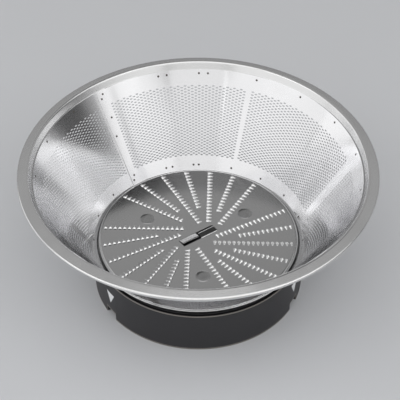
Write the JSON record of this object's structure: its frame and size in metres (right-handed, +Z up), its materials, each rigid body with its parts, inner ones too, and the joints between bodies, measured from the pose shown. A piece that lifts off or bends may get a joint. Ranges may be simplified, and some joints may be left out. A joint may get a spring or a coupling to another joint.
{
  "type": "juicer filter basket",
  "caption": "Conical filter basket of a centrifugal juicer: perforated steel cone with a rolled rim and a toothed grater disc, on a moulded plastic drive base.",
  "frame": {"origin": "on the spin axis, at the foot of the drive base", "axes": "+Z up along the spin axis, +X along the slot of the centre cutter and towards one weld stud"},
  "size_m": [0.1898, 0.1898, 0.0794],
  "materials": {
    "rim_steel": "polished, spun",
    "mesh_steel": "satin, perforated",
    "disc_steel": "semi-bright, pressed",
    "fastener_steel": "plain",
    "base_plastic": "satin moulded",
    "arrow_paint": "matt paint"
  },
  "bodies": {
    "root": {"rim_ring": "rim_steel", "mesh_cone": "mesh_steel", "grater_disc": "disc_steel", "weld_studs": "fastener_steel", "stud_nuts": "fastener_steel", "drive_base": "base_plastic", "arrow_marks": "arrow_paint"}
  },
  "joints": []
}
